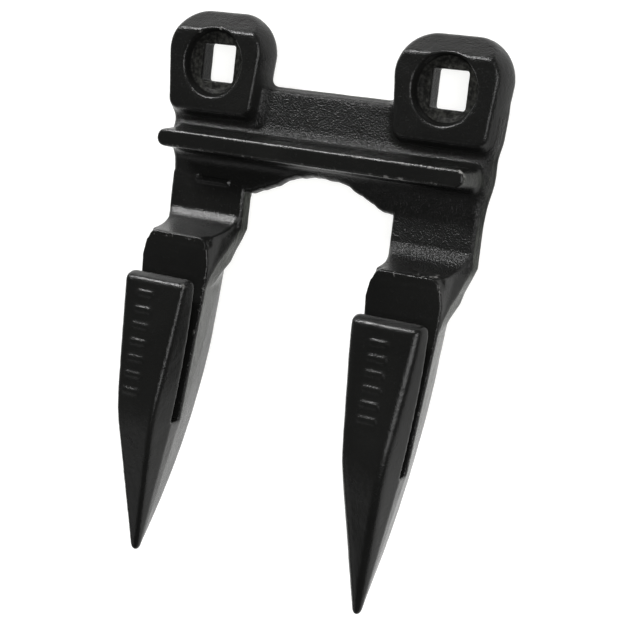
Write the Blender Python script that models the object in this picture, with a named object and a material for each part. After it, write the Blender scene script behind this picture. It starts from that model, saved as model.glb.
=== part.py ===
"""Forged double knife guard for a sickle-bar mower or combine header, in metres, +Z up.

Two pointed fingers stand on the standard knife pitch in front of a cross bar with two bolt
ears. Each finger carries a ledger that the knife sections slide on, and a hold-down lip above
it. The guard is one drop forging: every object here is a named section of it, divided from
its neighbours by a hairline gap. Stations run along Y from the bolt line (0) to the finger
tips (negative), heights run from the ears' top face (0), and place() moves both so that the
guard stands on the floor with its box centred on the origin.
"""
import math

import bmesh
import bpy
from mathutils import Vector

MM = 0.001
GAP = 0.3

# Pitch of the fingers and of the bolt holes (3 in), and the overall frame
PITCH = 76.2
FINGER_X = PITCH / 2
TIP_Y = -146.5
EAR_REAR_Y = 15.2
KEEL_Z = -12.5
CENTRE_Y = (TIP_Y + EAR_REAR_Y) / 2

# Cross bar
BAR_TOP_Z = -4.4
BAR_PARTING_Z = -7.0
BAR_BOTTOM_Z = -9.0
BAR_DRAFT = 1.0
BAR_REAR_Y = -4.9
BAR_EAR_Y = -16.4
BAR_FRONT_Y = -37.4
BAR_HALF_REAR = 53.8
BAR_HALF_FRONT = 51.7
TONGUE_HALF = 19.5
ARCH_HALF = 24.6
ARCH_Y = -29.6

# Rail that the back of the knife runs against
RAIL_TOP_Z = 7.1
RAIL_REAR_Y = -21.1
RAIL_FRONT_Y = -25.7
RAIL_HALF = 50.2
RAIL_FOOT = 2.4

# Bolt ears
EAR_HALF_TOP = 15.6
EAR_HALF_BASE = 17.8
EAR_FRONT_TAPER = 1.4
EAR_FRONT_CORNER = 2.5
EAR_FRONT_TOP_Y = -14.3
EAR_CORNER = 12.0
EAR_BEVEL_Y = 9.3
EAR_BEVEL_RUN = 5.9
EAR_BEVEL_DROP = 6.0
COUNTERBORE_R = 10.33
COUNTERBORE_FLOOR_R = 9.2
COUNTERBORE_DEPTH = 3.1
SQUARE_HALF = 5.5

# Fingers: shank, ledger and keel
SHANK_REAR_Y = -37.7
PAD_REAR_Y = -50.6
SHANK_TOP_Z = -4.0
RAMP_START_Y = -43.0
LEDGER_Z = 9.3
LEDGER_EDGE = 0.7
SLOT_FRONT_Y = -106.1
KEEL_RISE = 26.0
KEEL_LEVEL_Y = -70.0

# Hold-down lip and nose
LIP_REAR_Y = -62.3
LIP_REAR_SLOPE = 1.8
LIP_UNDER_Z = 14.3
LIP_REAR_TOP_Z = 18.5
NOSE_KINK_Y = -103.0
NOSE_KINK_Z = 22.0
TIP_TOP_Z = 15.7
TIP_HALF = 1.0
# Raised bars on each lip: sideways offset, first station, pitch, count
MARK_ROWS = {"left": (-2.4, -68.6, 4.8, 7), "right": (-0.6, -69.4, 4.2, 6)}

PAINT = (0.022, 0.022, 0.024, 1.0)
WORN_PAINT = (0.045, 0.045, 0.048, 1.0)


def place(x, y, z):
    """Turn a station in millimetres into a point of the standing guard in metres."""
    return Vector((x * MM, (y - CENTRE_Y) * MM, (z - KEEL_Z) * MM))


def lerp(y, *knots):
    """Straight-line value at station y from knots listed from the rear to the tip."""
    if y >= knots[0][0]:
        return knots[0][1]
    for (y0, v0), (y1, v1) in zip(knots, knots[1:]):
        if y >= y1:
            return v0 + (v1 - v0) * (y - y0) / (y1 - y0)
    return knots[-1][1]


def clear_scene():
    for item in list(bpy.data.objects):
        bpy.data.objects.remove(item, do_unlink=True)


def make_collection(name):
    collection = bpy.data.collections.new(name)
    bpy.context.scene.collection.children.link(collection)
    return collection


def make_material(name, colour, roughness, metallic):
    material = bpy.data.materials.new(name)
    material.use_nodes = True
    shader = material.node_tree.nodes["Principled BSDF"]
    shader.inputs["Base Color"].default_value = colour
    shader.inputs["Roughness"].default_value = roughness
    shader.inputs["Metallic"].default_value = metallic
    return material


def loft(name, rings, material, collection):
    """Closed solid through rings of equal count, with a flat cap at each end."""
    bm = bmesh.new()
    loops = [[bm.verts.new(place(*point)) for point in ring] for ring in rings]
    for lower, upper in zip(loops, loops[1:]):
        for i, vert in enumerate(lower):
            j = (i + 1) % len(lower)
            bm.faces.new((vert, lower[j], upper[j], upper[i]))
    bm.faces.new(loops[0])
    bm.faces.new(loops[-1])
    bmesh.ops.recalc_face_normals(bm, faces=bm.faces)
    mesh = bpy.data.meshes.new(name)
    bm.to_mesh(mesh)
    bm.free()
    item = bpy.data.objects.new(name, mesh)
    item.data.materials.append(material)
    collection.objects.link(item)
    return item


def boolean(item, other, operation):
    modifier = item.modifiers.new(other.name, "BOOLEAN")
    modifier.solver = "EXACT"
    modifier.operation = operation
    modifier.object = other
    return modifier


def cutter_from(name, rings, cutters):
    item = loft(name, rings, None, cutters)
    item.hide_render = True
    item.display_type = "WIRE"
    return item


def box_rings(cx, cy, half_x, half_y, z_low, z_high):
    corners = ((-1, -1), (1, -1), (1, 1), (-1, 1))
    return [[(cx + sx * half_x, cy + sy * half_y, z) for sx, sy in corners]
            for z in (z_low, z_high)]


def circle_ring(cx, cy, radius, z, count=40):
    return [(cx + radius * math.cos(2 * math.pi * i / count),
             cy + radius * math.sin(2 * math.pi * i / count), z) for i in range(count)]


def both_sides(half):
    """Close a half outline given from rear centre to front centre by mirroring it in X."""
    return half + [(-x, y) for x, y in reversed(half) if abs(x) > 1e-6]


# Cross bar and rail

def bar_half_outline(inset):
    """Right half of the bar seen from above. Free edges move in by the draft inset."""
    arch = 0.3 * inset
    points = [(0.0, BAR_REAR_Y - inset), (TONGUE_HALF, BAR_REAR_Y - inset),
              (TONGUE_HALF, BAR_EAR_Y), (BAR_HALF_REAR - inset, BAR_EAR_Y),
              (BAR_HALF_REAR - 0.3 - inset, -24.0), (BAR_HALF_FRONT + 0.6 - inset, -31.0),
              (BAR_HALF_FRONT - inset, BAR_FRONT_Y), (ARCH_HALF + arch, BAR_FRONT_Y)]
    steps = 8
    depth = BAR_FRONT_Y + 0.5 - ARCH_Y
    for i in range(steps + 1):
        share = 1 - i / steps
        rise = 0.5 - 0.5 * math.cos(math.pi * share ** 1.25)
        points.append((ARCH_HALF * share, ARCH_Y + depth * rise + arch))
    return points


def make_cross_bar(material, parts):
    levels = ((BAR_BOTTOM_Z, BAR_DRAFT), (BAR_PARTING_Z, 0.0), (BAR_TOP_Z, 1.2))
    rings = [[(x, y, z) for x, y in both_sides(bar_half_outline(inset))]
             for z, inset in levels]
    return loft("cross_bar", rings, material, parts)


def rounded_box_ring(half_x, y_rear, y_front, radius, z, count=5):
    ring = []
    corners = ((1, y_rear, 0), (-1, y_rear, 90), (-1, y_front, 180), (1, y_front, 270))
    for side, y, start in corners:
        cx = side * (half_x - radius)
        cy = y - radius if y == y_rear else y + radius
        for i in range(count):
            angle = math.radians(start + 90 * i / (count - 1))
            ring.append((cx + radius * math.cos(angle), cy + radius * math.sin(angle), z))
    return ring


def make_rail(material, parts):
    foot_z = BAR_TOP_Z + GAP
    levels = ((foot_z, RAIL_FOOT, 3.0), (foot_z + 1.0, 1.7, 2.7), (foot_z + 2.6, 1.1, 2.5),
              (RAIL_TOP_Z - 0.5, 0.1, 2.2), (RAIL_TOP_Z, -0.3, 1.9))
    rings = [rounded_box_ring(RAIL_HALF + grow, RAIL_REAR_Y + grow, RAIL_FRONT_Y - grow,
                              radius, z) for z, grow, radius in levels]
    return loft("knife_back_rail", rings, material, parts)


# Bolt ears

def ear_ring(cx, half, rear_y, front_y, corner, z, count=9):
    """Ear outline: well rounded at the rear, narrower with a small corner at the front."""
    front_half = half - EAR_FRONT_TAPER
    corners = ((1, front_half, front_y + corner, corner, 270, 3),
               (1, half, rear_y - EAR_CORNER, EAR_CORNER, 0, count),
               (-1, half, rear_y - EAR_CORNER, EAR_CORNER, 90, count),
               (-1, front_half, front_y + corner, corner, 180, 3))
    ring = []
    for side, reach, y, radius, start, steps in corners:
        for i in range(steps):
            angle = math.radians(start + 90 * i / (steps - 1))
            ring.append((cx + side * (reach - radius) + radius * math.cos(angle),
                         y + radius * math.sin(angle), z))
    return ring


def make_ear(side, name, material, parts, cutters):
    cx = side * FINGER_X
    rear = EAR_REAR_Y
    base_front = BAR_EAR_Y + GAP
    levels = ((BAR_BOTTOM_Z, EAR_HALF_BASE - 0.9, rear - 0.9, base_front, 0.5),
              (BAR_PARTING_Z, EAR_HALF_BASE, rear, base_front, 0.5),
              (BAR_TOP_Z, EAR_HALF_BASE - 0.6, rear - 0.4, base_front, 1.0),
              (-1.6, EAR_HALF_TOP + 0.9, rear - 0.9, EAR_FRONT_TOP_Y - 0.7, EAR_FRONT_CORNER),
              (-0.5, EAR_HALF_TOP + 0.4, rear - 1.2, EAR_FRONT_TOP_Y - 0.3, EAR_FRONT_CORNER),
              (0.0, EAR_HALF_TOP - 0.1, rear - 1.6, EAR_FRONT_TOP_Y, EAR_FRONT_CORNER))
    rings = [ear_ring(cx, half, rear_y, front_y, corner, z)
             for z, half, rear_y, front_y, corner in levels]
    ear = loft(name, rings, material, parts)

    run, drop = EAR_BEVEL_RUN, EAR_BEVEL_DROP
    wedge = []
    for x in (cx - 24.0, cx + 24.0):
        wedge.append([(x, EAR_BEVEL_Y - run * 0.5, drop * 0.5),
                      (x, EAR_BEVEL_Y + run * 1.6, -drop * 1.6),
                      (x, EAR_BEVEL_Y + run * 3.0, -drop * 1.6),
                      (x, EAR_BEVEL_Y + run * 3.0, drop * 0.5)])
    boolean(ear, cutter_from(name + "_rear_bevel", wedge, cutters), "DIFFERENCE")

    bore = [circle_ring(cx, 0.0, radius, z) for z, radius in
            ((-COUNTERBORE_DEPTH, COUNTERBORE_FLOOR_R), (0.0, COUNTERBORE_R),
             (4.0, COUNTERBORE_R))]
    boolean(ear, cutter_from(name + "_counterbore", bore, cutters), "DIFFERENCE")

    square = box_rings(cx, 0.0, SQUARE_HALF, SQUARE_HALF, BAR_BOTTOM_Z - 4.0, 4.0)
    boolean(ear, cutter_from(name + "_square_hole", square, cutters), "DIFFERENCE")
    return ear


# Fingers

def keel_z(y):
    """Lowest line of the finger: level under the shank end, then sweeping up to the tip."""
    if y > KEEL_LEVEL_Y:
        return lerp(y, (SHANK_REAR_Y, BAR_BOTTOM_Z - 0.3), (PAD_REAR_Y, -11.6),
                    (-60.0, KEEL_Z))
    return KEEL_Z + KEEL_RISE * ((KEEL_LEVEL_Y - y) / (KEEL_LEVEL_Y - TIP_Y)) ** 2


def top_z(y):
    """Trough floor, its concave ramp up to the pad, then the flat ledger."""
    if y <= PAD_REAR_Y:
        return LEDGER_Z
    share = max(0.0, (RAMP_START_Y - y) / (RAMP_START_Y - PAD_REAR_Y))
    return SHANK_TOP_Z + (LEDGER_Z - 1.5 - SHANK_TOP_Z) * (1 - math.sqrt(1 - share * share))


def top_half(y):
    return lerp(y, (RAMP_START_Y, 13.0), (PAD_REAR_Y, 10.3), (-53.0, 10.7), (-58.5, 11.8),
                (-68.0, 11.2), (SLOT_FRONT_Y, 7.2))


def side_edge(y):
    """Upper edge of the trimmed side band, climbing from the trough to the ledger's edge."""
    half = lerp(y, (-48.0, 13.1), (-55.0, 12.8), (-62.0, 12.05), (-66.0, top_half(-66.0) + 0.1))
    if y < -66.0:
        half = top_half(y) + 0.1
    height = lerp(y, (-48.0, SHANK_TOP_Z - 0.5), (PAD_REAR_Y, -2.3), (-55.0, 2.0),
                  (-58.0, 5.4), (-62.0, 7.9), (-66.0, LEDGER_Z - LEDGER_EDGE))
    return half, height


def keel_radius(y):
    return lerp(y, (PAD_REAR_Y, 5.5), (-60.0, 7.2), (-75.0, 5.0), (-100.0, 2.9),
                (-120.0, 1.8), (TIP_Y, 0.6))


def keel_arc(y, half_flat, side_point, count=5):
    """Points from the side down round the keel to the bottom centre line."""
    radius = keel_radius(y)
    centre_z = keel_z(y) + radius
    dx = side_point[0] - half_flat
    dz = side_point[1] - centre_z
    reach = math.hypot(dx, dz)
    start = math.atan2(dz, dx) - math.acos(min(1.0, radius / reach))
    points = []
    for i in range(count):
        angle = start + (-math.pi / 2 - start) * i / (count - 1)
        points.append((half_flat + radius * math.cos(angle),
                       centre_z + radius * math.sin(angle)))
    return points


def closed_section(half, y):
    """Mirror a half section (x, z) about the finger's own centre plane."""
    return [(x, y, z) for x, z in half] + [(-x, y, z) for x, z in reversed(half)]


def finger_section(y):
    top, height = top_half(y), top_z(y)
    edge, edge_z = side_edge(y)
    foot = (top + 0.55 * (edge - top) * 0.6, edge_z + 0.35 * (height - edge_z))
    band = lerp(y, (-48.0, 13.6), (-52.0, 12.1), (-55.0, 11.2), (-62.0, 11.1))
    band_z = lerp(y, (-48.0, -8.0), (-52.0, -7.4), (-55.0, -6.3), (-62.0, -2.0))
    flat = lerp(y, (SHANK_REAR_Y, 8.0), (-52.0, 4.0), (-60.0, 0.0))
    arc = keel_arc(y, flat, (edge, edge_z))
    if y < -62.0:
        band = edge + 0.35 * (arc[0][0] - edge)
        band_z = edge_z + 0.35 * (arc[0][1] - edge_z)
    else:
        arc = keel_arc(y, flat, (band, band_z))
    half = [(top * 0.5, height), (top, height), foot, (edge, edge_z), (band, band_z)] + arc
    return closed_section(half, y)


def shift_rings(rings, cx):
    return [[(x + cx, y, z) for x, y, z in ring] for ring in rings]


def stations(first, last, count):
    return [first + (last - first) * i / (count - 1) for i in range(count)]


def make_shank(side, name, material, parts):
    ys = [SHANK_REAR_Y, -41.0] + stations(RAMP_START_Y, PAD_REAR_Y + GAP, 8)
    rings = [finger_section(y) for y in ys]
    return loft(name, shift_rings(rings, side * FINGER_X), material, parts)


def make_finger_body(side, name, material, parts):
    ys = [PAD_REAR_Y, -53.0, -55.0, -58.5, -62.0, -66.0] + stations(-70.0, SLOT_FRONT_Y + GAP, 9)
    rings = [finger_section(y) for y in ys]
    return loft(name, shift_rings(rings, side * FINGER_X), material, parts)


def lip_top_z(y):
    return lerp(y, (LIP_REAR_Y - LIP_REAR_SLOPE, LIP_REAR_TOP_Z), (NOSE_KINK_Y, NOSE_KINK_Z),
                (TIP_Y, TIP_TOP_Z))


def lip_top_half(y):
    return lerp(y, (-66.0, 10.0), (NOSE_KINK_Y, 6.3), (TIP_Y + 1.5, TIP_HALF),
                (TIP_Y, TIP_HALF - 0.4))


def lip_under_half(y):
    share = max(0.0, (-66.0 - y) / 40.0)
    return 11.6 - 3.4 * share ** 1.6


def lip_section(y, back, shrink):
    """Lip section at station y. Its upper points lean forward by back at the rear face."""
    under, top, height = lip_under_half(y) - shrink, lip_top_half(y) - shrink, lip_top_z(y)
    half = [(top * 0.5, height, back), (top - 0.5, height, back),
            (top + 0.15, height - 0.5, back * 0.9), (under - 0.2, LIP_UNDER_Z + 0.9, back * 0.15),
            (under, LIP_UNDER_Z + 0.35, 0.0), (under - 0.35, LIP_UNDER_Z, 0.0)]
    right = [(x, y - lean, z) for x, z, lean in half]
    return right + [(-x, yy, z) for x, yy, z in reversed(right)]


def make_lip(side, name, material, parts):
    rings = [lip_section(LIP_REAR_Y, LIP_REAR_SLOPE, 2.2),
             lip_section(LIP_REAR_Y - 0.7, LIP_REAR_SLOPE, 0.8),
             lip_section(LIP_REAR_Y - 2.2, LIP_REAR_SLOPE * 0.8, 0.0)]
    rings += [lip_section(y, 0.0, 0.0) for y in stations(-68.0, NOSE_KINK_Y, 7)]
    rings.append(lip_section(SLOT_FRONT_Y + GAP, 0.0, 0.0))
    return loft(name, shift_rings(rings, side * FINGER_X), material, parts)


def nose_section(y):
    """Nose behind the tip: top facet, upper side, slot line, ridge and keel."""
    top, height = lip_top_half(y), lip_top_z(y)
    slot = lerp(y, (SLOT_FRONT_Y, lip_under_half(SLOT_FRONT_Y)), (TIP_Y + 2.0, TIP_HALF + 0.3),
                (TIP_Y, TIP_HALF - 0.2))
    slot_z = lerp(y, (SLOT_FRONT_Y, LIP_UNDER_Z), (TIP_Y, TIP_TOP_Z - 0.9))
    ridge = lerp(y, (SLOT_FRONT_Y, top_half(SLOT_FRONT_Y)), (TIP_Y + 2.0, TIP_HALF + 0.1),
                 (TIP_Y, TIP_HALF - 0.3))
    ridge_z = lerp(y, (SLOT_FRONT_Y, LEDGER_Z - LEDGER_EDGE), (TIP_Y, TIP_TOP_Z - 1.5))
    bottom = keel_z(y)
    radius = min(keel_radius(y), 0.45 * (ridge_z - bottom))
    half = [(top * 0.5, height), (max(top - 0.4, 0.3), height), (top + 0.05, height - 0.3),
            (slot, slot_z), (ridge, ridge_z)]
    steps = 4
    for i in range(steps):
        angle = math.radians(-15 - 75 * i / (steps - 1))
        reach = min(radius, ridge * 0.8)
        half.append((reach * math.cos(angle), bottom + radius * (1 + math.sin(angle))))
    return closed_section(half, y)


def make_nose(side, name, material, parts):
    ys = [SLOT_FRONT_Y] + stations(-110.0, TIP_Y + 4.0, 7) + [TIP_Y + 1.5, TIP_Y]
    rings = [nose_section(y) for y in ys]
    return loft(name, shift_rings(rings, side * FINGER_X), material, parts)


def add_raised_marks(item, centre_x, spots, half_x, half_y, parts_cutters):
    """Plain raised bars across the lip, standing in for forged lettering."""
    for i, y in enumerate(spots):
        z = lip_top_z(y)
        rings = box_rings(centre_x, y, half_x, half_y, z - 0.8, z + 0.35)
        mark = cutter_from(item.name + "_mark_" + str(i + 1), rings, parts_cutters)
        boolean(item, mark, "UNION")


def build():
    clear_scene()
    parts = make_collection("double_knife_guard")
    cutters = make_collection("cutters")
    make_cross_bar(make_material("cross_bar_paint", PAINT, 0.5, 0.3), parts)
    make_rail(make_material("rail_paint", WORN_PAINT, 0.4, 0.4), parts)
    for side, word in ((-1, "left"), (1, "right")):
        make_ear(side, word + "_bolt_ear", make_material(word + "_ear_paint", PAINT, 0.5, 0.3),
                 parts, cutters)
        make_shank(side, word + "_shank", make_material(word + "_shank_paint", PAINT, 0.45, 0.3),
                   parts)
        make_finger_body(side, word + "_finger_body",
                         make_material(word + "_finger_paint", PAINT, 0.42, 0.3), parts)
        lip = make_lip(side, word + "_hold_down_lip",
                       make_material(word + "_lip_paint", WORN_PAINT, 0.4, 0.4), parts)
        offset, first, pitch, count = MARK_ROWS[word]
        spots = [first - pitch * i for i in range(count)]
        add_raised_marks(lip, side * FINGER_X + offset, spots, 2.9, 0.8, cutters)
        make_nose(side, word + "_finger_nose",
                  make_material(word + "_nose_paint", WORN_PAINT, 0.4, 0.4), parts)


build()
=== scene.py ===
import math

import bpy
import numpy as np
from mathutils import Matrix, Vector, noise


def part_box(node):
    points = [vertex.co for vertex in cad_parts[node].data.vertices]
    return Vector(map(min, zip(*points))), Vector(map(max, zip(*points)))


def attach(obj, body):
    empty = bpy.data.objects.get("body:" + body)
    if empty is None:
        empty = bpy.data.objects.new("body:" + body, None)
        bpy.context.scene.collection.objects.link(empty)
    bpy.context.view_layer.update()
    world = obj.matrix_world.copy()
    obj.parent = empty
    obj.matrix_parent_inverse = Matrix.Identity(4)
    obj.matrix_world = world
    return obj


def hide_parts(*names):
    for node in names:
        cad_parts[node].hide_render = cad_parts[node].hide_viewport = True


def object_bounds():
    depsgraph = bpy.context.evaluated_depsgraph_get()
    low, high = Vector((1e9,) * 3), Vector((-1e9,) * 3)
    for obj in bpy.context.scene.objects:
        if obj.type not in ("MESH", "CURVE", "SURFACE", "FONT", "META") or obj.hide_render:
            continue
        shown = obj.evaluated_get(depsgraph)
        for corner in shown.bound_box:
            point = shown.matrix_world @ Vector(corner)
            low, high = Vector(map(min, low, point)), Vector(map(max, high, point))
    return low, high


# The guard is one drop forging, so its visual is one continuous skin: a distance field in
# millimetres is built from the frame's sections, softened into forged fillets, turned into a
# mesh and divided into one piece for each node of the frame. Stations are the frame's own:
# y runs from the bolt line (0) to the tips (negative), z from the ears' top face (0).

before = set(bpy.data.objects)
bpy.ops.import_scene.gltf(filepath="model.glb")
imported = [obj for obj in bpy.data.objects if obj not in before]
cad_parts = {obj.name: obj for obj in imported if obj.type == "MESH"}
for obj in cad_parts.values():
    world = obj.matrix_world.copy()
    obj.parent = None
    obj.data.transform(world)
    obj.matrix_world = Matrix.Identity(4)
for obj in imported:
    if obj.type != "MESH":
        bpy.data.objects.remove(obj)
CAD_LOW, CAD_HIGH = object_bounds()
MM = 0.001
STEP = 0.33
GRID_MARGIN = 2.2
FORGED_SOFTNESS = 0.3
# Reach and thresholds of the edge mask: convex edges are painted lighter, partly as worn paint and
# partly as a painted highlight
WEAR_HIGHLIGHT_REACH = 1.1
WEAR_HIGHLIGHT_START = 0.24
WEAR_HIGHLIGHT_SPAN = 0.2

EAR_REAR_Y = 15.2
ORIGIN = Vector((0.0, CAD_HIGH.y - EAR_REAR_Y * MM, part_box("right_bolt_ear")[1].z))


def station_box(node):
    """Lowest and highest corner of a CAD node, in station millimetres."""
    low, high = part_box(node)
    return (low - ORIGIN) / MM, (high - ORIGIN) / MM


BAR_LOW, BAR_HIGH = station_box("cross_bar")
RAIL_LOW, RAIL_HIGH = station_box("knife_back_rail")
EAR_LOW, EAR_HIGH = station_box("right_bolt_ear")
BODY_LOW, BODY_HIGH = station_box("right_finger_body")
LIP_LOW, LIP_HIGH = station_box("right_hold_down_lip")
NOSE_LOW, NOSE_HIGH = station_box("right_finger_nose")

FINGER_X = (EAR_LOW.x + EAR_HIGH.x) / 2
TIP_Y = NOSE_LOW.y
KEEL_Z = BODY_LOW.z

# Cross bar
BAR_TOP_Z = BAR_HIGH.z
BAR_BOTTOM_Z = BAR_LOW.z
BAR_PARTING_Z = -7.0
BAR_REAR_Y = BAR_HIGH.y
BAR_HALF_REAR = BAR_HIGH.x
BAR_HALF_FRONT = 51.7
ARCH_HALF = 24.6
ARCH_Y = -29.6
ARCH_FOOT_Y = BAR_LOW.y + 0.5

# Rail
RAIL_TOP_Z = RAIL_HIGH.z
RAIL_FOOT = 2.4
RAIL_HALF = RAIL_HIGH.x - RAIL_FOOT
RAIL_Y = (RAIL_LOW.y + RAIL_HIGH.y) / 2
RAIL_HALF_Y = (RAIL_HIGH.y - RAIL_LOW.y) / 2 - RAIL_FOOT

# Bolt ears
EAR_HALF_TOP = 15.6
EAR_SHOULDER = 2.17
EAR_REAR_TOP_Y = 13.0
EAR_FRONT_TOP_Y = -14.3
EAR_CORNER = 9.8
EAR_FRONT_CORNER = 2.8
EAR_FRONT_TAPER = 1.4
BEVEL_Y = 9.3
BEVEL_RUN = 5.9
BEVEL_DROP = 6.0
COUNTERBORE_R = 10.33
COUNTERBORE_FLOOR_R = 9.2
COUNTERBORE_DEPTH = 3.1
RIM_SOFTNESS = 0.2
SQUARE_HALF = 5.5

# Fingers
SHANK_TOP_Z = -4.0
RAMP_START_Y = -43.4
PAD_REAR_Y = BODY_HIGH.y
LEDGER_Z = BODY_HIGH.z
LEDGER_EDGE = 0.7
SLOT_FRONT_Y = NOSE_HIGH.y
KEEL_RISE = 26.0
KEEL_LEVEL_Y = -70.0
LIP_REAR_Y = LIP_HIGH.y
LIP_REAR_SLOPE = 1.8
LIP_UNDER_Z = LIP_LOW.z
LIP_REAR_TOP_Z = 18.5
NOSE_KINK_Y = -103.0
NOSE_KINK_Z = 22.3
TIP_TOP_Z = 15.7
TIP_HALF = 1.0
PAD_CORNER = 2.8
TOP_EXTRA = 3.0
EDGE_ROUND = {-1: 1.4, 1: 2.2}
EDGE_ALLOWANCE = 0.35

# Plain raised bars: side, offset across the finger, first station, pitch and count
LIP_MARKS = ((-1, -2.4, -68.6, 4.8, 7), (1, -0.6, -69.4, 4.2, 6))
LIP_MARK_HALF = (2.9, 0.8)
SHANK_MARK_HALF = (6.0, 0.9)
SHANK_MARK_OFFSET = 1.7
SHANK_MARK_Y = -34.9
SHANK_MARK_LIFT = 0.15
MARK_HEIGHT = 0.35

# Light and camera, in metres and watts
WALL_LIGHT = 0.12
CEILING_LIGHT = 0.006
FLOOR_HALF = 12.0
FLOOR_GLOW = 0.86
SOFT_BOXES = (("rear_box", (-0.60, 0.80, 0.64), (0.42, 0.16), 15.0),
              ("camera_box", (0.72, 0.14, 1.12), (0.75, 0.75), 12.0),
              ("front_box", (-0.75, -0.80, 0.85), (0.7, 0.5), 0.9))
CAMERA_SPOT = (0.235336, 0.066811, 0.422882)
CAMERA_RIGHT = (0.85860, 0.11207, -0.50025)
CAMERA_UP = (-0.16920, 0.98308, -0.07018)
CAMERA_LENS = 94.905

# Paint colours
PAINT_DARK = (0.0050, 0.0051, 0.0049, 1.0)
PAINT_LIGHT = (0.0100, 0.0101, 0.0095, 1.0)
PAINT_FLECK = (0.03, 0.03, 0.03, 1.0)
# Sheared side bands: the lighter greenish streaks are partly the trimmed steel's own tone and
# partly a painted reflection of the pale floor
SHEARED_DARK = (0.008, 0.009, 0.0075, 1.0)
SHEARED_LIGHT_AND_REFLECTION = (0.058, 0.063, 0.052, 1.0)
BORE_SCALE = (0.034, 0.034, 0.031, 1.0)
# Light grey along convex edges: partly bare steel where the paint is worn, partly a painted
# highlight
BARE_STEEL_AND_HIGHLIGHT = (0.30, 0.295, 0.285, 1.0)
FLOOR_COLOUR = (0.3, 0.3, 0.3, 1.0)
FLOOR_GLOW_COLOUR = (1.0, 1.0, 0.985, 1.0)
WHITE = (1.0, 1.0, 1.0, 1.0)


def lerp(y, *knots):
    """Straight-line value at station y from knots listed from the rear to the tip."""
    if y >= knots[0][0]:
        return knots[0][1]
    for (y0, v0), (y1, v1) in zip(knots, knots[1:]):
        if y >= y1:
            return v0 + (v1 - v0) * (y - y0) / (y1 - y0)
    return knots[-1][1]


# Distance fields: negative inside the steel, in millimetres

def soft_min(a, b, k):
    h = np.maximum(k - np.abs(a - b), 0.0) / k
    return np.minimum(a, b) - h * h * (k * 0.25)


def soft_max(a, b, k):
    return -soft_min(-a, -b, k)


def outline_distance(points, a, b):
    """Signed distance to a closed outline. Edges on the a = 0 line are mirror lines."""
    a, b = np.broadcast_arrays(a, b)
    best = np.full(a.shape, 1e6, np.float32)
    inside = np.zeros(a.shape, bool)
    for (a0, b0), (a1, b1) in zip(points, points[1:] + points[:1]):
        da, db = a1 - a0, b1 - b0
        length2 = da * da + db * db
        if length2 < 1e-9 or (abs(a0) < 1e-6 and abs(a1) < 1e-6):
            continue
        share = np.clip(((a - a0) * da + (b - b0) * db) / length2, 0.0, 1.0)
        best = np.minimum(best, (a - a0 - share * da) ** 2 + (b - b0 - share * db) ** 2)
        if abs(db) > 1e-9:
            inside ^= ((b0 > b) != (b1 > b)) & (a < a0 + (b - b0) * (da / db))
    best = np.sqrt(best)
    return np.where(inside, -best, best).astype(np.float32)


def box_distance(a, b, half_a, half_b, radius):
    """Signed distance to a rectangle with rounded corners, centred on the origin."""
    qa, qb = np.abs(a) - (half_a - radius), np.abs(b) - (half_b - radius)
    outside = np.hypot(np.maximum(qa, 0.0), np.maximum(qb, 0.0))
    return outside + np.minimum(np.maximum(qa, qb), 0.0) - radius


def wave(t, *terms):
    """Sum of sines (length, amplitude, phase): a smooth unevenness along t."""
    return sum(size * np.sin(t * (2 * math.pi / length) + phase)
               for length, size, phase in terms)


# Cross bar, rail and ears

def arch_points():
    """Half outline of the open arch between the fingers, past the fingers' inner sides."""
    steps, depth = 24, ARCH_FOOT_Y - ARCH_Y
    points = [(0.0, -70.0), (0.0, ARCH_Y)]
    for i in range(1, steps + 1):
        share = i / steps
        rise = 0.5 - 0.5 * math.cos(math.pi * share ** 1.25)
        points.append((ARCH_HALF * share, ARCH_Y + depth * rise))
    return points + [(ARCH_HALF, -70.0)]


def bar_field(x, y, z):
    side = np.interp(-y, (16.0, 24.0, 31.0, 37.4, 48.0),
                     (BAR_HALF_REAR, BAR_HALF_REAR - 0.3, BAR_HALF_FRONT + 0.6,
                      BAR_HALF_FRONT, BAR_HALF_FRONT))
    above, below = (z - BAR_PARTING_Z), (BAR_PARTING_Z - z)
    draft = np.where(above > 0, above * 0.46, below * 0.5)
    flash = 0.22 * np.exp(-(above / 0.5) ** 2)
    outer = soft_max(np.abs(x) - side, y - BAR_REAR_Y, 1.5) + draft - flash
    arch = -outline_distance(arch_points(), np.abs(x), y)
    arch = arch + wave(x + 3.0, (9.0, 0.16, 0.4), (4.3, 0.09, 2.0), (2.1, 0.05, 1.0))
    arch = arch + 0.3 * draft - 0.6 * flash
    body = soft_max(outer, arch, 1.0)
    body = np.maximum(body, -38.5 - y)
    return soft_max(body, z - BAR_TOP_Z, np.where(y > -16.0, 1.1, 1.5))


def rail_field(x, y, z):
    grow = np.interp(z, (BAR_TOP_Z, -1.5, RAIL_TOP_Z - 0.5, RAIL_TOP_Z + 2.0),
                     (1.9, 1.15, 0.25, 0.1))
    plan = box_distance(x, y - RAIL_Y, RAIL_HALF, RAIL_HALF_Y, RAIL_HALF_Y - 0.1)
    ends = np.abs(x) - np.interp(z, (BAR_TOP_Z, RAIL_TOP_Z), (RAIL_HALF + 1.6, RAIL_HALF + 0.9))
    sag = wave(x, (38.0, 0.10, 0.7), (17.0, 0.05, 2.1))
    rail = soft_max(plan - grow, z - RAIL_TOP_Z + 0.06 + sag * 0.4, 0.55)
    rail = soft_max(rail, ends, 1.2)
    return np.maximum(rail, BAR_PARTING_Z - z)


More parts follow.
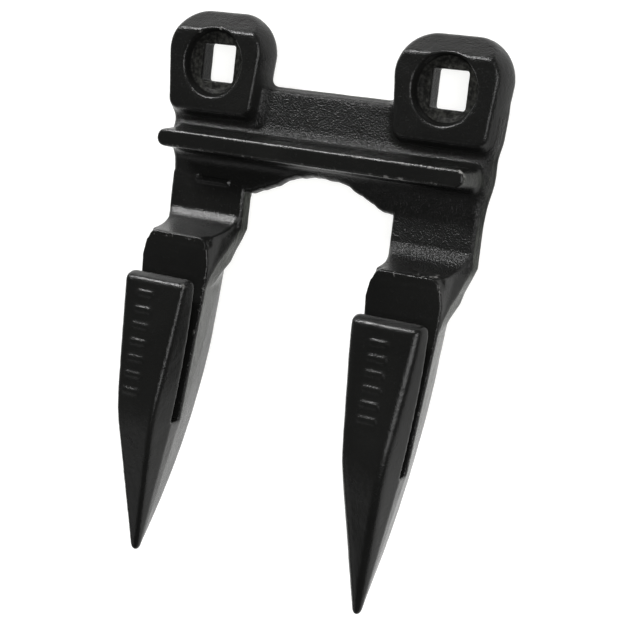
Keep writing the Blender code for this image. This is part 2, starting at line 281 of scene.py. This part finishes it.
def ear_points():
    """Ear outline at its top face: well rounded at the rear, narrower at the front."""
    front_half = EAR_HALF_TOP - EAR_FRONT_TAPER
    corners = ((1, front_half, EAR_FRONT_TOP_Y + EAR_FRONT_CORNER, EAR_FRONT_CORNER, 270, 8),
               (1, EAR_HALF_TOP, EAR_REAR_TOP_Y - EAR_CORNER, EAR_CORNER, 0, 20),
               (-1, EAR_HALF_TOP, EAR_REAR_TOP_Y - EAR_CORNER, EAR_CORNER, 90, 20),
               (-1, front_half, EAR_FRONT_TOP_Y + EAR_FRONT_CORNER, EAR_FRONT_CORNER, 180, 8))
    points = []
    for side, reach, y, radius, start, steps in corners:
        for i in range(steps):
            angle = math.radians(start + 90 * i / (steps - 1))
            points.append((side * (reach - radius) + radius * math.cos(angle),
                           y + radius * math.sin(angle)))
    return points


def ear_field(u, y, z):
    plan = outline_distance(ear_points(), u, y)
    depth = np.clip(z / BAR_PARTING_Z, 0.0, 1.0)
    grow = EAR_SHOULDER * (1 - (1 - depth) ** 1.9) - 0.45 * np.maximum(BAR_PARTING_Z - z, 0.0)
    ear = soft_max(plan - grow, z, 0.8)
    bevel = ((y - BEVEL_Y) * BEVEL_DROP + z * BEVEL_RUN) / math.hypot(BEVEL_RUN, BEVEL_DROP)
    return soft_max(ear, bevel, 0.6)


def bolt_hole_field(u, y, z):
    """Counterbore with a stepped, worn floor, and the square hole through it."""
    radius = np.hypot(u, y)
    slope = (COUNTERBORE_R - COUNTERBORE_FLOOR_R) / COUNTERBORE_DEPTH
    wall = COUNTERBORE_R - RIM_SOFTNESS + z * slope
    lift = 0.5 * np.clip((radius - 7.9) / 0.3, 0.0, 1.0)
    bore = np.maximum(radius - wall, -COUNTERBORE_DEPTH - z + lift)
    square = box_distance(u, y, SQUARE_HALF, SQUARE_HALF, 0.5)
    return np.minimum(bore, square)


# Fingers

def keel_z(y):
    if y > KEEL_LEVEL_Y:
        return lerp(y, (-33.0, BAR_BOTTOM_Z), (-37.7, BAR_BOTTOM_Z - 0.3), (PAD_REAR_Y, -11.6),
                    (-60.0, KEEL_Z))
    return KEEL_Z + KEEL_RISE * ((KEEL_LEVEL_Y - y) / (KEEL_LEVEL_Y - TIP_Y)) ** 2


def ramp_rise(y):
    """Rise of the concave ramp over the shank: a gentle foot, then steep up to the pad."""
    share = np.clip((RAMP_START_Y - y) / (RAMP_START_Y - PAD_REAR_Y), 0.0, 1.0)
    curve = 0.36 * (np.sqrt(share ** 2 + 0.03) - 0.173) + 0.7 * share ** 5
    return (LEDGER_Z - 1.0 - SHANK_TOP_Z) * curve


def top_z(y):
    """Trough floor, its concave ramp up to the pad, then the flat ledger."""
    if y <= PAD_REAR_Y:
        return LEDGER_Z
    trough = lerp(y, (-33.0, BAR_TOP_Z), (-38.0, SHANK_TOP_Z))
    return trough + float(ramp_rise(y))


def rounded_top(u, y):
    """Height of ramp and pad, with the pad's rear corners rounded in plan."""
    across = np.clip(u - top_half(PAD_REAR_Y) - 0.2 + PAD_CORNER, 0.0, PAD_CORNER)
    station = y + PAD_CORNER - np.sqrt(PAD_CORNER ** 2 - across ** 2)
    ramp_z = np.where(station <= PAD_REAR_Y, LEDGER_Z, SHANK_TOP_Z + ramp_rise(station))
    return np.maximum(ramp_z, min(top_z(y), LEDGER_Z - 2.4))


def top_half(y):
    return lerp(y, (-37.0, 12.3), (RAMP_START_Y, 12.7), (PAD_REAR_Y, 10.3), (-53.0, 10.7),
                (-58.5, 11.8), (-68.0, 11.2), (SLOT_FRONT_Y, 7.2))


def side_edge(y):
    """Upper edge of the trimmed side band, climbing from the trough to the ledger's edge."""
    half = lerp(y, (-48.0, 13.1), (-55.0, 12.8), (-62.0, 12.05), (-66.0, top_half(-66.0) + 0.1))
    if y < -66.0:
        half = top_half(y) + 0.1
    height = lerp(y, (-48.0, SHANK_TOP_Z - 0.5), (PAD_REAR_Y, -2.3), (-55.0, 2.0),
                  (-58.0, 5.4), (-62.0, 7.9), (-66.0, LEDGER_Z - LEDGER_EDGE))
    return half, height


def keel_radius(y):
    return lerp(y, (PAD_REAR_Y, 5.5), (-60.0, 7.2), (-75.0, 5.0), (-100.0, 2.9),
                (-120.0, 1.8), (TIP_Y, 0.6))


def keel_arc(y, half_flat, side_point, count=10):
    """Points from the side down round the keel to the bottom."""
    radius = keel_radius(y)
    centre_z = keel_z(y) + radius
    dx, dz = side_point[0] - half_flat, side_point[1] - centre_z
    start = math.atan2(dz, dx) - math.acos(min(1.0, radius / math.hypot(dx, dz)))
    angles = [start + (-math.pi / 2 - start) * i / (count - 1) for i in range(count)]
    return [(half_flat + radius * math.cos(t), centre_z + radius * math.sin(t)) for t in angles]


def body_outline(y):
    top, height = top_half(y), top_z(y)
    edge, edge_z = side_edge(y)
    foot = (top + 0.33 * (edge - top), edge_z + 0.35 * (height - edge_z))
    flat = lerp(y, (-37.7, 8.0), (-52.0, 4.0), (-60.0, 0.0))
    trimmed = lerp(y, (-58.0, 0.0), (-66.0, 1.0))
    band = lerp(y, (-48.0, 13.6), (-52.0, 12.1), (-55.0, 11.2), (-62.0, 11.1))
    band_z = lerp(y, (-48.0, -8.0), (-52.0, -7.4), (-55.0, -6.3), (-62.0, -2.0))
    start = keel_arc(y, flat, (edge, edge_z))[0]
    band += trimmed * (edge + 0.35 * (start[0] - edge) - band)
    band_z += trimmed * (edge_z + 0.35 * (start[1] - edge_z) - band_z)
    arc = keel_arc(y, flat, (band, band_z))
    return [(0.0, height), (top, height), foot, (edge, edge_z), (band, band_z)] + arc + [
        (0.0, keel_z(y))]


def lip_top_z(y):
    rear_y = LIP_REAR_Y - LIP_REAR_SLOPE
    rising = (NOSE_KINK_Z - LIP_REAR_TOP_Z) / (rear_y - NOSE_KINK_Y)
    falling = (NOSE_KINK_Z - TIP_TOP_Z) / (NOSE_KINK_Y - TIP_Y)
    behind = NOSE_KINK_Z + rising * (NOSE_KINK_Y - y)
    ahead = NOSE_KINK_Z - falling * (NOSE_KINK_Y - y)
    return float(soft_min(behind, ahead, 1.6))


def lip_top_half(y):
    return lerp(y, (-62.0, 10.4 + EDGE_ALLOWANCE), (NOSE_KINK_Y, 6.3 + EDGE_ALLOWANCE),
                (TIP_Y + 1.5, TIP_HALF + 0.3), (TIP_Y, TIP_HALF))


def lip_under_half(y):
    share = max(0.0, (-66.0 - y) / 40.0)
    return 11.6 - 3.4 * share ** 1.6


def lip_outline(y):
    under, top, height = lip_under_half(y), lip_top_half(y), lip_top_z(y)
    tall = 1.0 + TOP_EXTRA / (height - LIP_UNDER_Z - 0.8)
    crest = under - 0.1 + tall * (top - under + 0.1)
    return [(0.0, height + TOP_EXTRA), (crest, height + TOP_EXTRA),
            (under - 0.1, LIP_UNDER_Z + 0.8), (under, LIP_UNDER_Z + 0.3),
            (under - 0.2, LIP_UNDER_Z), (0.0, LIP_UNDER_Z)]


def nose_outline(y):
    """Nose behind the tip: top facet, upper side, slot line, ridge and keel."""
    top, height = lip_top_half(y), lip_top_z(y)
    slot = lerp(y, (SLOT_FRONT_Y, lip_under_half(SLOT_FRONT_Y)), (TIP_Y + 2.0, TIP_HALF + 0.6),
                (TIP_Y, TIP_HALF + 0.1))
    slot_z = lerp(y, (SLOT_FRONT_Y, LIP_UNDER_Z), (TIP_Y, TIP_TOP_Z - 0.9))
    ridge = lerp(y, (SLOT_FRONT_Y, top_half(SLOT_FRONT_Y)), (TIP_Y + 2.0, TIP_HALF + 0.4),
                 (TIP_Y, TIP_HALF))
    ridge_z = lerp(y, (SLOT_FRONT_Y, LEDGER_Z - LEDGER_EDGE), (TIP_Y, TIP_TOP_Z - 1.7))
    bottom = keel_z(y)
    radius = min(keel_radius(y), 0.45 * (ridge_z - bottom))
    crest = max(0.05, slot + (top - slot) * (1.0 + TOP_EXTRA / (height - slot_z)))
    half = [(0.0, height + TOP_EXTRA), (crest, height + TOP_EXTRA), (slot, slot_z),
            (ridge, ridge_z)]
    reach = min(radius, ridge * 0.8)
    for i in range(8):
        angle = math.radians(-15 - 75 * i / 7)
        half.append((reach * math.cos(angle), bottom + radius * (1 + math.sin(angle))))
    return half + [(0.0, bottom)]


def finger_slice(u, y, z, edge):
    """Field of one finger on the plane at station y, its top edges rounded by edge."""
    top = z - lip_top_z(y)
    if y < SLOT_FRONT_Y:
        nose = outline_distance(nose_outline(y), u, z)
        nose = soft_max(nose, top, min(edge, 1.5 * lip_top_half(y)))
        return soft_max(nose, TIP_Y - 0.35 - y, 1.8)
    body = outline_distance(body_outline(y), u, z)
    body = np.maximum(body, y + 33.5)
    if PAD_REAR_Y - PAD_CORNER < y < RAMP_START_Y:
        body = soft_max(body, z - rounded_top(u, y), 0.4)
    if y < LIP_REAR_Y + 4.0:
        rise = LIP_REAR_TOP_Z - LIP_UNDER_Z
        rear = ((y - LIP_REAR_Y) * rise + (z - LIP_UNDER_Z) * LIP_REAR_SLOPE)
        rear = rear / math.hypot(rise, LIP_REAR_SLOPE)
        plan = box_distance(u, y - LIP_REAR_Y + 22.0, 12.0 - 0.25 * (z - LIP_UNDER_Z), 22.0, 3.4)
        lip = soft_max(outline_distance(lip_outline(y), u, z), top, edge)
        lip = soft_max(lip, rear, 1.3)
        if y > LIP_REAR_Y - 8.0:
            lip = soft_max(lip, plan, 0.8)
        wall = soft_max(outline_distance(nose_outline(SLOT_FRONT_Y), u, z), top, edge)
        wall = np.maximum(wall, y - SLOT_FRONT_Y)
        body = np.minimum(body, np.minimum(lip, wall))
    return body


# Grid and skin

class Grid:
    """Sample points of the field, in station millimetres."""

    def __init__(self, step):
        low = (CAD_LOW - ORIGIN) / MM
        high = (CAD_HIGH - ORIGIN) / MM
        self.step = step
        half = math.ceil((high.x + GRID_MARGIN) / step)
        self.x = np.arange(-half, half + 1, dtype=np.float32) * step
        self.y = np.arange(low.y - GRID_MARGIN, high.y + GRID_MARGIN, step, dtype=np.float32)
        self.z = np.arange(low.z - GRID_MARGIN, high.z + GRID_MARGIN, step, dtype=np.float32)
        self.field = np.full((len(self.x), len(self.y), len(self.z)), 9.0, np.float32)

    def block(self, x=(-99.0, 99.0), y=(-999.0, 999.0)):
        """Slices of the grid inside the given ranges, with broadcastable coordinates."""
        i0, i1 = np.searchsorted(self.x, x)
        j0, j1 = np.searchsorted(self.y, y)
        where = (slice(i0, i1), slice(j0, j1), slice(None))
        return where, self.x[i0:i1, None, None], self.y[None, j0:j1, None], self.z[None, None]


def add_rear(grid):
    where, x, y, z = grid.block(y=(-42.0, 30.0))
    field = soft_min(bar_field(x, y, z), rail_field(x, y, z), 3.4)
    for side in (-1, 1):
        field = soft_min(field, ear_field(x - side * FINGER_X, y, z), 3.0)
    field = soft_max(field, BAR_BOTTOM_Z - z, 1.0)
    grid.field[where] = np.minimum(grid.field[where], field)


def cut_bolt_holes(grid):
    for side in (-1, 1):
        where, x, y, z = grid.block(x=(side * FINGER_X - 18, side * FINGER_X + 18), y=(-18, 18))
        hole = bolt_hole_field(x - side * FINGER_X, y, z)
        grid.field[where] = soft_max(grid.field[where], -hole, 0.6)


def add_fingers(grid):
    for side in (-1, 1):
        where, x, y, z = grid.block(x=(side * FINGER_X - 17, side * FINGER_X + 17),
                                    y=(-200.0, -33.0))
        u = np.abs(x[:, 0] - side * FINGER_X)
        for j, station in enumerate(y[0, :, 0]):
            plane = finger_slice(u, float(station), z[0], EDGE_ROUND[side])
            target = grid.field[where][:, j]
            np.minimum(target, plane, out=target)


def blurred(field, sigma):
    """Gaussian blur of the field along its three axes."""
    reach = max(1, int(math.ceil(2.6 * sigma)))
    taps = [math.exp(-0.5 * (i / sigma) ** 2) for i in range(-reach, reach + 1)]
    total = sum(taps)
    for axis in range(3):
        padded = np.concatenate([np.take(field, [0] * reach, axis), field,
                                 np.take(field, [-1] * reach, axis)], axis)
        out = np.zeros_like(field)
        count = field.shape[axis]
        for i, tap in enumerate(taps):
            part = [slice(None)] * 3
            part[axis] = slice(i, i + count)
            out += padded[tuple(part)] * np.float32(tap / total)
        field = out
    return field


def skin(field):
    """Surface net of the zero level: vertices in grid units and quads wound outwards."""
    inside = field < 0
    counts = np.zeros([n - 1 for n in field.shape], np.uint8)
    corners = [(i, j, k) for i in (0, 1) for j in (0, 1) for k in (0, 1)]
    for i, j, k in corners:
        counts += inside[i:inside.shape[0] - 1 + i, j:inside.shape[1] - 1 + j,
                         k:inside.shape[2] - 1 + k]
    active = (counts > 0) & (counts < 8)
    cells = np.argwhere(active)
    number = np.full(active.shape, -1, np.int32)
    number[active] = np.arange(len(cells))
    total = np.zeros((len(cells), 3), np.float32)
    hits = np.zeros(len(cells), np.float32)
    for start in corners:
        for axis in range(3):
            if start[axis]:
                continue
            end = list(start)
            end[axis] = 1
            a = field[tuple((cells + start).T)]
            b = field[tuple((cells + end).T)]
            cross = (a < 0) != (b < 0)
            spot = np.tile(np.array(start, np.float32), (len(cells), 1))
            spot[:, axis] += np.where(cross, a / np.where(cross, a - b, 1.0), 0.0)
            total[cross] += spot[cross]
            hits += cross
    verts = cells + total / hits[:, None]
    quads = []
    for axis in range(3):
        one, two = [(1, 2), (2, 0), (0, 1)][axis]
        low = [slice(0, -1) if n == axis else slice(1, -1) for n in range(3)]
        high = [slice(1, None) if n == axis else slice(1, -1) for n in range(3)]
        here, there = inside[tuple(low)], inside[tuple(high)]
        for enters, flip in ((here & ~there, False), (~here & there, True)):
            at = np.argwhere(enters) + [0 if n == axis else 1 for n in range(3)]
            ring = []
            for d1, d2 in ((-1, -1), (0, -1), (0, 0), (-1, 0)):
                cell = at.copy()
                cell[:, one] += d1
                cell[:, two] += d2
                ring.append(number[tuple(cell.T)])
            quads.append(np.stack(ring[::-1] if flip else ring, 1))
    return verts, np.concatenate(quads)


def sample(field, spots):
    """Field values at fractional grid positions."""
    base = np.minimum(spots.astype(np.int32), np.array(field.shape) - 2)
    share = spots - base
    value = np.zeros(len(spots), np.float32)
    for i in (0, 1):
        for j in (0, 1):
            for k in (0, 1):
                weight = (np.abs(1 - i - share[:, 0]) * np.abs(1 - j - share[:, 1])
                          * np.abs(1 - k - share[:, 2]))
                value += weight * field[base[:, 0] + i, base[:, 1] + j, base[:, 2] + k]
    return value


def vertex_normals(verts, quads):
    across = verts[quads[:, 2]] - verts[quads[:, 0]]
    along = verts[quads[:, 3]] - verts[quads[:, 1]]
    face = np.cross(across, along)
    total = np.zeros_like(verts)
    for corner in range(4):
        for axis in range(3):
            total[:, axis] += np.bincount(quads[:, corner], face[:, axis], len(verts))
    return total / np.maximum(np.linalg.norm(total, axis=1, keepdims=True), 1e-12)


def add_marks(grid):
    """Plain raised bars along the lips, and one across the left shank."""
    marks = []
    for side, offset, first, pitch, count in LIP_MARKS:
        for i in range(count):
            spot = first - pitch * i
            marks.append((side * FINGER_X + offset, spot, lip_top_z(spot), *LIP_MARK_HALF))
    marks.append((SHANK_MARK_OFFSET - FINGER_X, SHANK_MARK_Y, SHANK_TOP_Z + SHANK_MARK_LIFT,
                  *SHANK_MARK_HALF))
    for cx, cy, cz, half_x, half_y in marks:
        where, x, y, z = grid.block(x=(cx - 8, cx + 8), y=(cy - 4, cy + 4))
        plan = box_distance(x - cx, y - cy, half_x, half_y, 0.5)
        bar = soft_max(plan, np.abs(z - cz) - MARK_HEIGHT, 0.3)
        grid.field[where] = soft_min(grid.field[where], bar, 0.4)


def node_of(points):
    """Name of the frame node that each point, in station millimetres, belongs to."""
    x, y, z = points.T
    side = np.where(x < 0, "left_", "right_")
    part = np.full(len(points), "cross_bar", dtype="U32")
    rear = y > BAR_LOW.y
    on_ear = (np.abs(np.abs(x) - FINGER_X) < EAR_HIGH.x - FINGER_X) & (y > -16.6)
    on_rail = rear & (np.abs(y - RAIL_Y) < RAIL_HALF_Y + 1.6) & (z > BAR_TOP_Z + 0.8)
    part = np.where(rear & on_ear, np.char.add(side, "bolt_ear"), part)
    part = np.where(on_rail, "knife_back_rail", part)
    part = np.where(~rear & (y > PAD_REAR_Y), np.char.add(side, "shank"), part)
    front = ~rear & (y <= PAD_REAR_Y)
    middle = (LEDGER_Z + LIP_UNDER_Z) / 2
    part = np.where(front & (z <= middle), np.char.add(side, "finger_body"), part)
    part = np.where(front & (z > middle), np.char.add(side, "hold_down_lip"), part)
    return np.where(y < SLOT_FRONT_Y, np.char.add(side, "finger_nose"), part)


def roughen(verts, normals):
    """Shallow unevenness of a forged and shot-blasted skin, in millimetres."""
    out = np.empty(len(verts), np.float32)
    for i, (x, y, z) in enumerate(verts.tolist()):
        out[i] = (0.055 * noise.noise((x * 0.22, y * 0.22, z * 0.22))
                  + 0.03 * noise.noise((x * 0.9 + 7, y * 0.9, z * 0.9)))
    return verts + normals * out[:, None]


def grain_mask(points):
    """How strongly the skin is pebbled: most on the bar, some on the ears, least on the lips."""
    x, y, z = points.T
    bar = np.clip((y + 27.0) / 2.0, 0, 1) * np.clip((-2.5 - z) / 1.2, 0, 1)
    bar = bar * np.where((y > BAR_REAR_Y - 0.8) | (z < BAR_TOP_Z - 1.2), 0.35, 1.0)
    ears = 0.3 * (y > -16.5) * (z > -3.5)
    shank = np.clip((-27.0 - y) / 1.0, 0, 1) * np.clip((y + 52.0) / 3.0, 0, 1)
    shank = shank * np.where(x > 0, 0.85, 0.3)
    return np.maximum(np.maximum(bar, shank), np.maximum(ears, 0.14)).astype(np.float32)


def trim_and_reflection_mask(points, normals):
    """The trimmed side bands of bar and fingers, where the flash was sheared off, painted lighter
    where they face sideways: partly the sheared steel, partly a painted reflection.
    """
    x, y, z = points.T
    u = np.abs(np.abs(x) - FINGER_X)
    facing = np.clip((np.abs(normals[:, 0]) - 0.75) / 0.15, 0, 1)
    stations = np.linspace(-36.0, -110.0, 75)
    upper = np.interp(-y, -stations, [side_edge(t)[1] for t in stations])
    band = (y < -36.0) & (y > -110.0) & (u > 6.5) & (z < upper - 0.2)
    flank = 0.5 * (np.abs(x) > BAR_HALF_FRONT - 2.5) * (y < -15.0) * (y >= -36.0)
    return (facing * np.maximum(band, flank)).astype(np.float32)


def wear_and_highlight_mask(points):
    """Where edges are painted lighter, partly as lost paint and partly as painted highlight: rail,
    ears and lip rears, hardly along lips and noses.
    """
    x, y, z = points.T
    u = np.abs(x) - FINGER_X
    share = np.where(y > PAD_REAR_Y + 3.0, 1.0, 0.7)
    share = np.where((y < LIP_REAR_Y - 3.4) & (z > LEDGER_Z + 1.0), 0.02, share)
    marks = (np.abs(u) < 5.6) & (y < LIP_REAR_Y - 3.4) & (y > -101.0) & (z > LIP_REAR_TOP_Z)
    return np.where(marks, 0.25, share).astype(np.float32)


def bore_mask(points):
    """Unpainted, rough insides of the bolt holes."""
    x, y, z = points.T
    radius = np.hypot(np.abs(x) - FINGER_X, y)
    inside = (radius < COUNTERBORE_R - 0.2) & (z < -0.6)
    on_floor = (radius < COUNTERBORE_FLOOR_R) & (z > -COUNTERBORE_DEPTH - 0.5)
    return (inside * np.where(on_floor, 1.0, 0.6)).astype(np.float32)


def make_piece(name, verts, quads, normals, masks, material):
    used, inverse = np.unique(quads, return_inverse=True)
    faces = inverse.reshape(quads.shape)
    mesh = bpy.data.meshes.new(name + "_skin")
    mesh.vertices.add(len(used))
    mesh.vertices.foreach_set("co", verts[used].ravel())
    mesh.loops.add(faces.size)
    mesh.loops.foreach_set("vertex_index", faces.ravel().astype(np.int32))
    mesh.polygons.add(len(faces))
    mesh.polygons.foreach_set("loop_start", np.arange(0, faces.size, 4, dtype=np.int32))
    mesh.polygons.foreach_set("use_smooth", np.ones(len(faces), bool))
    mesh.update(calc_edges=True)
    for label, values in masks.items():
        layer = mesh.attributes.new(label, "FLOAT", "POINT")
        layer.data.foreach_set("value", values[used].astype(np.float32))
    mesh.normals_split_custom_set_from_vertices(normals[used].tolist())
    piece = bpy.data.objects.new(name + "_skin", mesh)
    piece.data.materials.append(material)
    bpy.context.scene.collection.objects.link(piece)
    return piece


# Materials

def node(tree, kind, inputs=(), **settings):
    item = tree.nodes.new(kind)
    for key, value in settings.items():
        setattr(item, key, value)
    for key, value in dict(inputs).items():
        if isinstance(value, bpy.types.NodeSocket):
            tree.links.new(value, item.inputs[key])
        else:
            item.inputs[key].default_value = value
    return item


def noise_node(tree, where, scale, detail=4.0, roughness=0.55):
    return node(tree, "ShaderNodeTexNoise", {"Vector": where, "Scale": scale,
                "Detail": detail, "Roughness": roughness}).outputs["Fac"]


def ramp(tree, value, low, high):
    return node(tree, "ShaderNodeMapRange", {"Value": value, "From Min": low, "From Max": high},
                interpolation_type="SMOOTHSTEP").outputs["Result"]


def math_node(tree, operation, a, b=0.0):
    item = node(tree, "ShaderNodeMath", operation=operation)
    for socket, value in zip(item.inputs, (a, b)):
        if isinstance(value, bpy.types.NodeSocket):
            tree.links.new(value, socket)
        else:
            socket.default_value = value
    return item.outputs[0]


def mix_colour(tree, share, a, b):
    item = node(tree, "ShaderNodeMix", data_type="RGBA")
    for index, value in ((0, share), (6, a), (7, b)):
        if isinstance(value, bpy.types.NodeSocket):
            tree.links.new(value, item.inputs[index])
        else:
            item.inputs[index].default_value = value
    return item.outputs[2]


def forging_paint(name, wear_and_highlight, gloss):
    """Satin black paint over a pebbled forging, worn to grey along its edges, the grey partly a
    painted highlight, with side bands painted lighter as partly a painted reflection.
    """
    material = bpy.data.materials.new(name)
    material.use_nodes = True
    tree = material.node_tree
    shader = tree.nodes["Principled BSDF"]
    where = node(tree, "ShaderNodeTexCoord").outputs["Object"]
    edge = node(tree, "ShaderNodeAttribute", attribute_name="edge").outputs["Fac"]
    grain = node(tree, "ShaderNodeAttribute", attribute_name="grain").outputs["Fac"]
    trim_and_reflection = node(tree, "ShaderNodeAttribute", attribute_name="trim_and_reflection").outputs["Fac"]
    bore = node(tree, "ShaderNodeAttribute", attribute_name="bore").outputs["Fac"]

    cloud = noise_node(tree, where, 45.0)
    fleck = noise_node(tree, where, 900.0, 3.0)
    chips = noise_node(tree, where, 420.0, 5.0, 0.65)
    pebble = noise_node(tree, where, 2000.0, 2.0, 0.5)
    fine = noise_node(tree, where, 3800.0, 2.0, 0.5)
    stretched = node(tree, "ShaderNodeMapping", {"Vector": where, "Scale": (1.0, 0.14, 1.0)})
    streak = noise_node(tree, stretched.outputs["Vector"], 1300.0, 4.0, 0.6)

    # Lighter grey on convex edges: partly worn paint, partly a painted highlight
    worn_and_highlit = math_node(tree, "MULTIPLY", edge, ramp(tree, chips, 0.62 - 0.1 * wear_and_highlight, 0.7))
    worn_and_highlit = math_node(tree, "MULTIPLY", worn_and_highlit, 0.55 + 0.45 * wear_and_highlight)
    paint = mix_colour(tree, cloud, PAINT_DARK, PAINT_LIGHT)
    paint = mix_colour(tree, math_node(tree, "MULTIPLY", ramp(tree, fleck, 0.6, 0.8), grain),
                       paint, PAINT_FLECK)
    # Side bands painted lighter and greenish: the sheared steel plus a painted reflection of the
    # floor
    sheared_and_reflected = mix_colour(tree, ramp(tree, streak, 0.35, 0.65), SHEARED_DARK, SHEARED_LIGHT_AND_REFLECTION)
    paint = mix_colour(tree, math_node(tree, "MULTIPLY", trim_and_reflection, 0.8), paint, sheared_and_reflected)
    paint = mix_colour(tree, math_node(tree, "MULTIPLY", ramp(tree, fleck, 0.35, 0.75),
                                           ramp(tree, bore, 0.65, 0.9)),
                       paint, BORE_SCALE)
    # Edges mixed towards light grey: worn paint and painted highlight
    colour = mix_colour(tree, worn_and_highlit, paint, BARE_STEEL_AND_HIGHLIGHT)
    tree.links.new(colour, shader.inputs["Base Color"])

    rough = math_node(tree, "MULTIPLY_ADD", cloud, 0.12)
    rough.node.inputs[2].default_value = gloss
    rough = math_node(tree, "ADD", rough, math_node(tree, "MULTIPLY", grain, 0.06))
    tree.links.new(rough, shader.inputs["Roughness"])

    height = math_node(tree, "MULTIPLY", pebble, math_node(tree, "MULTIPLY", grain, 1.9))
    height = math_node(tree, "ADD", height, math_node(tree, "MULTIPLY", fine, 0.18))
    height = math_node(tree, "ADD", height,
                       math_node(tree, "MULTIPLY", streak, math_node(tree, "MULTIPLY", trim_and_reflection, 0.8)))
    bump = node(tree, "ShaderNodeBump", {"Height": height, "Strength": 0.55,
                                         "Distance": 0.00038})
    tree.links.new(bump.outputs["Normal"], shader.inputs["Normal"])
    shader.inputs["Metallic"].default_value = 0.0
    shine = math_node(tree, "MULTIPLY_ADD", bore, -0.25)
    shine.node.inputs[2].default_value = 0.28
    shine = math_node(tree, "SUBTRACT", shine, math_node(tree, "MULTIPLY", trim_and_reflection, 0.12))
    tree.links.new(shine, shader.inputs["Specular IOR Level"])
    return material


def floor_material():
    material = bpy.data.materials.new("pale_floor")
    material.use_nodes = True
    shader = material.node_tree.nodes["Principled BSDF"]
    shader.inputs["Base Color"].default_value = FLOOR_COLOUR
    shader.inputs["Roughness"].default_value = 0.8
    shader.inputs["Emission Color"].default_value = FLOOR_GLOW_COLOUR
    shader.inputs["Emission Strength"].default_value = FLOOR_GLOW
    return material


# Scene

def build_guard():
    grid = Grid(STEP)
    add_rear(grid)
    add_fingers(grid)
    cut_bolt_holes(grid)
    add_marks(grid)
    field = blurred(grid.field, FORGED_SOFTNESS / STEP)
    spots, quads = skin(field)
    bend = sample(blurred(field, WEAR_HIGHLIGHT_REACH / STEP) - field, spots) / WEAR_HIGHLIGHT_REACH
    start = np.array((grid.x[0], grid.y[0], grid.z[0]), np.float32)
    points = (start + spots * STEP).astype(np.float32)
    points = roughen(points, vertex_normals(points, quads))
    normals = vertex_normals(points, quads)
    # edge: convex edges painted lighter, partly wear and partly painted highlight; the band mask:
    # sheared sides painted lighter, partly a painted reflection
    masks = {"edge": np.clip((bend - WEAR_HIGHLIGHT_START) / WEAR_HIGHLIGHT_SPAN, 0.0, 1.0) * wear_and_highlight_mask(points),
             "bore": bore_mask(points),
             "grain": grain_mask(points), "trim_and_reflection": trim_and_reflection_mask(points, normals)}
    # The skin is kept inside the CAD box: a few vertices move by a tenth of a millimetre at most
    world = np.array(ORIGIN, np.float32) + points * MM
    lowest = np.array(CAD_LOW, np.float32) + 2e-5
    highest = np.array(CAD_HIGH, np.float32) - 2e-5
    world = np.clip(world, lowest, highest)
    names = node_of(points[quads].mean(axis=1))
    paints = {"black_forging_paint": forging_paint("black_forging_paint", 0.35, 0.18),
              "worn_black_paint": forging_paint("worn_black_paint", 0.8, 0.2)}
    for name in sorted(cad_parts):
        mine = quads[names == name]
        # Lips, rail and noses get the paint with more edge lightening, worn paint and painted
        # highlight alike
        worn_and_highlit = "lip" in name or "rail" in name or "nose" in name
        slot = "worn_black_paint" if worn_and_highlit else "black_forging_paint"
        piece = make_piece(name, world, mine, normals, masks, paints[slot])
        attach(piece, "root")
        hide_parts(name)


def add_floor():
    mesh = bpy.data.meshes.new("floor")
    corners = [(a * FLOOR_HALF, b * FLOOR_HALF, CAD_LOW.z)
               for a, b in ((-1, -1), (1, -1), (1, 1), (-1, 1))]
    mesh.from_pydata(corners, [], [(0, 1, 2, 3)])
    floor = bpy.data.objects.new("floor", mesh)
    floor.data.materials.append(floor_material())
    bpy.context.scene.collection.objects.link(floor)


def add_area_light(name, spot, size, watts):
    """Soft box at spot, facing the guard's centre."""
    light = bpy.data.lights.new(name, "AREA")
    light.shape = "RECTANGLE"
    light.size, light.size_y = size
    light.energy = watts
    item = bpy.data.objects.new(name, light)
    item.location = spot
    item.rotation_euler = (-Vector(spot)).to_track_quat("-Z", "Y").to_euler()
    bpy.context.scene.collection.objects.link(item)


def add_lights():
    """Dim walls, a dimmer ceiling, and three soft boxes."""
    world = bpy.data.worlds.new("studio")
    world.use_nodes = True
    tree = world.node_tree
    direction = node(tree, "ShaderNodeTexCoord").outputs["Generated"]
    height = node(tree, "ShaderNodeSeparateXYZ", {"Vector": direction}).outputs["Z"]
    ceiling = node(tree, "ShaderNodeMapRange", {"Value": height, "From Min": 0.2,
                   "From Max": 0.88, "To Min": WALL_LIGHT, "To Max": CEILING_LIGHT},
                   interpolation_type="SMOOTHSTEP").outputs["Result"]
    tree.nodes["Background"].inputs["Color"].default_value = WHITE
    tree.links.new(ceiling, tree.nodes["Background"].inputs["Strength"])
    bpy.context.scene.world = world
    for name, spot, size, watts in SOFT_BOXES:
        add_area_light(name, spot, size, watts)


def add_camera():
    """Camera above and to the right of the guard, looking down across it."""
    right, up = Vector(CAMERA_RIGHT), Vector(CAMERA_UP)
    back = right.cross(up)
    camera = bpy.data.cameras.new("camera")
    camera.lens = CAMERA_LENS
    camera.sensor_width = 36.0
    camera.clip_start = 0.01
    camera.clip_end = 20.0
    item = bpy.data.objects.new("camera", camera)
    turn = Matrix((right, up, back)).transposed().to_4x4()
    item.matrix_world = Matrix.Translation(CAMERA_SPOT) @ turn
    bpy.context.scene.collection.objects.link(item)
    bpy.context.scene.camera = item


bpy.context.scene.view_settings.view_transform = "Standard"
build_guard()
add_floor()
add_lights()
add_camera()
